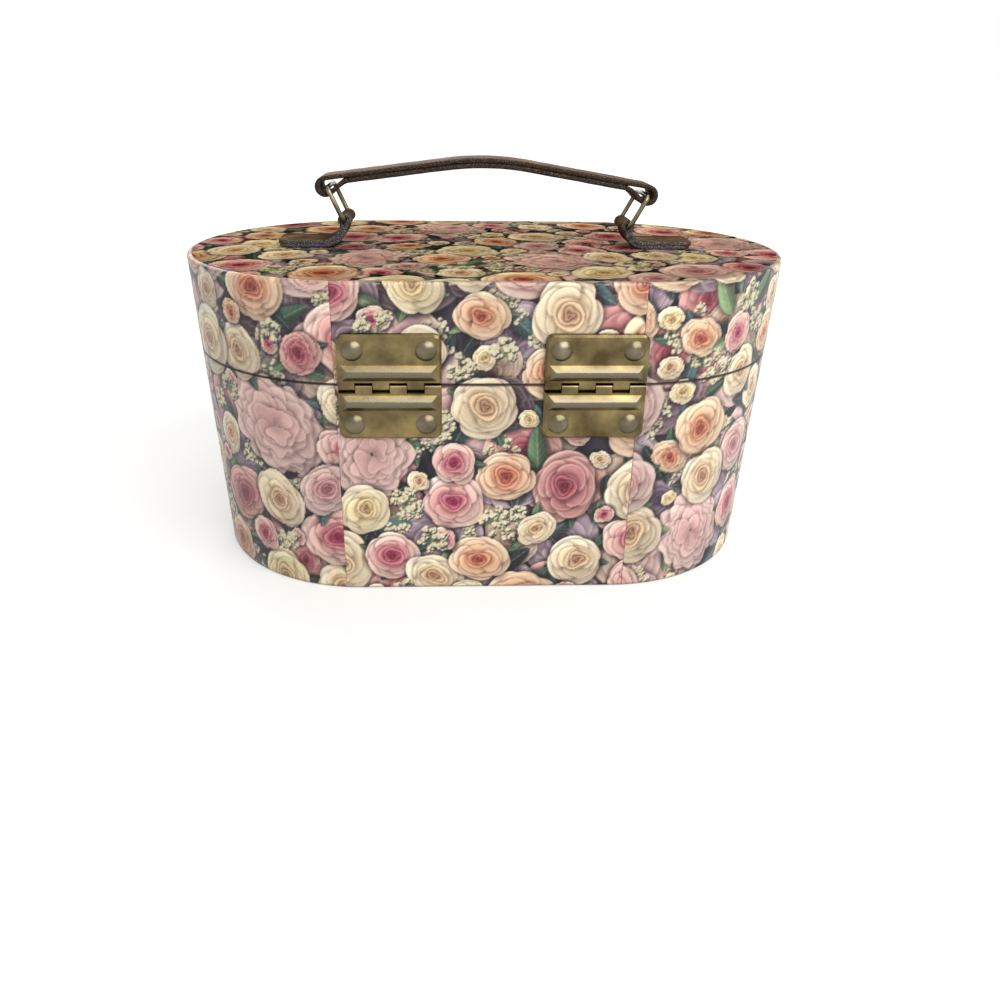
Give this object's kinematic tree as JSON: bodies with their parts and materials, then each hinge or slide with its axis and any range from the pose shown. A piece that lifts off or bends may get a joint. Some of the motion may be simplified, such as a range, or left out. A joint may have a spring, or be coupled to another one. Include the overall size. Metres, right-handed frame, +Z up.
{
  "type": "cosmetic train case",
  "caption": "Oval paper-covered cosmetic case tapering to its base, with a hinged lid on pressed brass hinges, a front catch and a leather strap handle on wire rings.",
  "frame": {"origin": "centre of the bottom face that the case stands on", "axes": "+X along the case's long side, +Y towards the front catch, -Y towards the hinges, +Z up"},
  "size_m": [0.2538, 0.1583, 0.1683],
  "materials": {
    "paper_covered_board": "bent board under varnished rose-print paper",
    "antique_brass": "pressed, aged brass plate with dull patina",
    "pin_steel": "drawn wire",
    "brown_leather": "worn brown strap leather with grey cut edges",
    "mirror_glass": "bevelled mirror"
  },
  "bodies": {
    "base": {"base_floor": "paper_covered_board", "base_wall": "paper_covered_board", "left_hinge_lower_leaf": "antique_brass", "right_hinge_lower_leaf": "antique_brass", "left_hinge_lower_rivets": "antique_brass", "right_hinge_lower_rivets": "antique_brass", "left_hinge_pin": "pin_steel", "right_hinge_pin": "pin_steel", "lock_case": "antique_brass", "lock_rivets": "antique_brass"},
    "lid": {"lid_wall": "paper_covered_board", "lid_top": "paper_covered_board", "lid_mirror": "mirror_glass", "left_hinge_upper_leaf": "antique_brass", "right_hinge_upper_leaf": "antique_brass", "left_hinge_upper_rivets": "antique_brass", "right_hinge_upper_rivets": "antique_brass", "hasp": "antique_brass", "hasp_rivets": "antique_brass", "left_handle_tab": "brown_leather", "right_handle_tab": "brown_leather", "left_tab_rivets": "antique_brass", "right_tab_rivets": "antique_brass"},
    "left_ring": {"left_handle_ring": "antique_brass"},
    "right_ring": {"right_handle_ring": "antique_brass"},
    "handle": {"handle_strap": "brown_leather", "handle_liner": "brown_leather"},
    "lock_slider": {"lock_bolt": "antique_brass"}
  },
  "joints": [
    {"name": "lid_hinge", "type": "hinge", "parent": "base", "child": "lid", "pos_m": [0, -0.07447, 0.0901], "axis": [1, 0, 0], "range_deg": [0, 118]},
    {"name": "left_ring_swing", "type": "hinge", "parent": "lid", "child": "left_ring", "pos_m": [-0.0605, 0, 0.142], "axis": [0, 1, 0], "range_deg": [-20, 20]},
    {"name": "handle_swing", "type": "hinge", "parent": "left_ring", "child": "handle", "pos_m": [-0.06691, 0, 0.156], "axis": [0, 1, 0], "range_deg": [-18.5, 18.5]},
    {"name": "right_ring_swing", "type": "hinge", "parent": "lid", "child": "right_ring", "pos_m": [0.0605, 0, 0.14], "axis": [0, 1, 0], "range_deg": [-21, 21]},
    {"name": "lock_slide", "type": "slide", "parent": "base", "child": "lock_slider", "axis": [1, 0, 0], "range_m": [0, 0.0042]}
  ],
  "couplings": [
    {"joint": "handle_swing", "follows": "left_ring_swing", "ratio": -0.89665},
    {"joint": "right_ring_swing", "follows": "left_ring_swing", "ratio": 1.0175}
  ]
}
